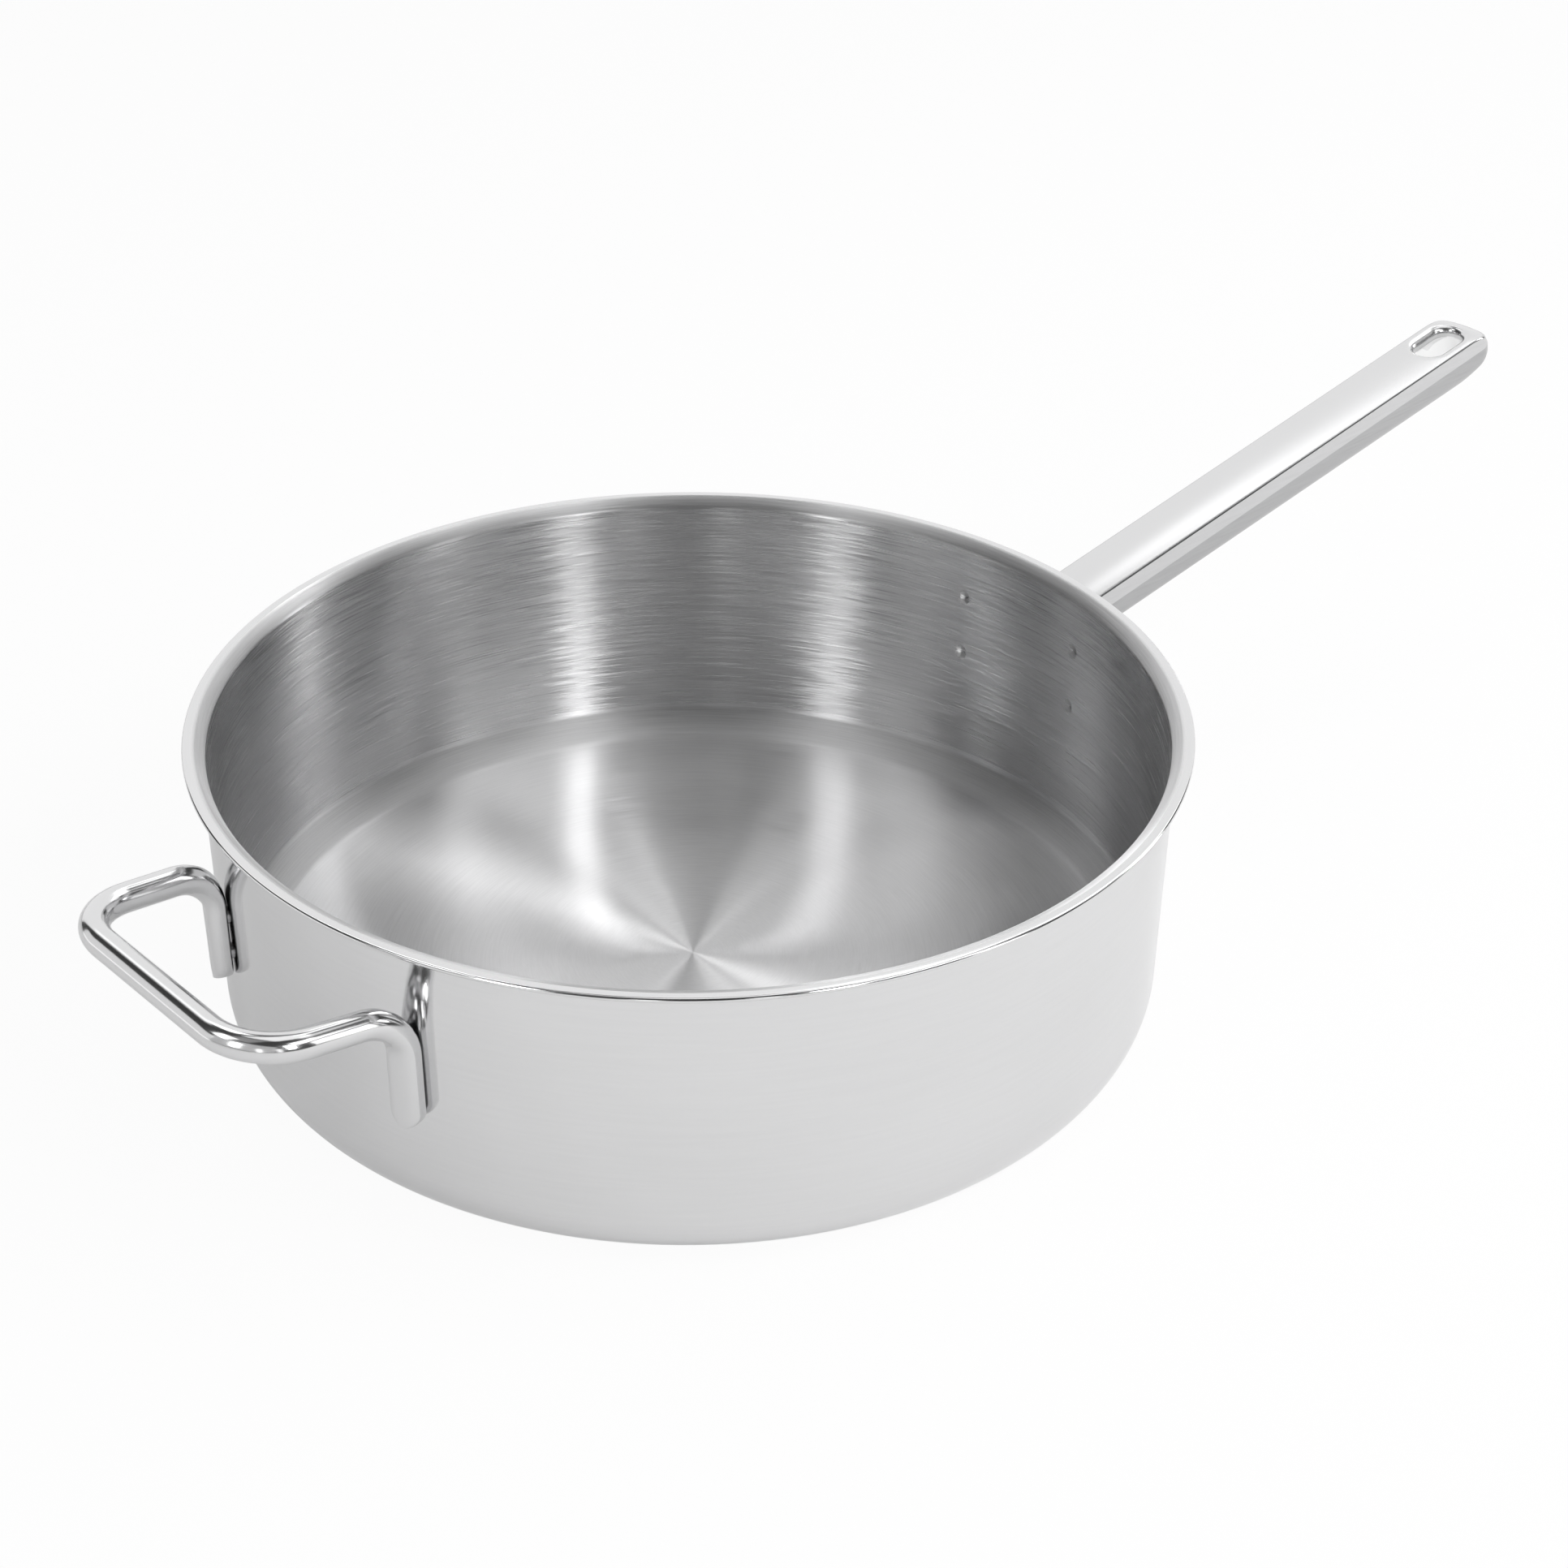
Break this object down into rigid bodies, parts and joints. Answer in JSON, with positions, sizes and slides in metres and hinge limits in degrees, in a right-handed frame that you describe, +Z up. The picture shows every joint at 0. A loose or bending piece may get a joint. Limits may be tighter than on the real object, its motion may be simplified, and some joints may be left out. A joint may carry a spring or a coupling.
{
  "type": "saute pan",
  "caption": "Straight-sided stainless saute pan with a flared pouring rim, a long hollow handle with a hanging slot and a bent-bar helper handle.",
  "frame": {"origin": "centre of the underside, on the surface that the pan stands on", "axes": "+Z up out of the pan, +X along the long handle, -X towards the helper handle"},
  "size_m": [0.5603, 0.295, 0.116],
  "materials": {
    "brushed_steel": "satin stainless, brushed round the axis inside",
    "satin_steel": "satin stainless",
    "handle_steel": "satin stainless, fine bead on the top face",
    "polished_steel": "mirror-polished stainless",
    "aluminium_core": "plain rolled",
    "weld_steel": "fused spot weld"
  },
  "bodies": {
    "root": {"pan_body": "brushed_steel", "base_core": "aluminium_core", "base_cap": "satin_steel", "handle_bracket": "satin_steel", "handle_upper_shell": "handle_steel", "handle_lower_shell": "handle_steel", "helper_handle": "polished_steel", "weld_bracket_upper_left": "weld_steel", "weld_bracket_lower_left": "weld_steel", "weld_bracket_upper_right": "weld_steel", "weld_bracket_lower_right": "weld_steel", "weld_helper_upper_left": "weld_steel", "weld_helper_lower_left": "weld_steel", "weld_helper_upper_right": "weld_steel", "weld_helper_lower_right": "weld_steel"}
  },
  "joints": []
}
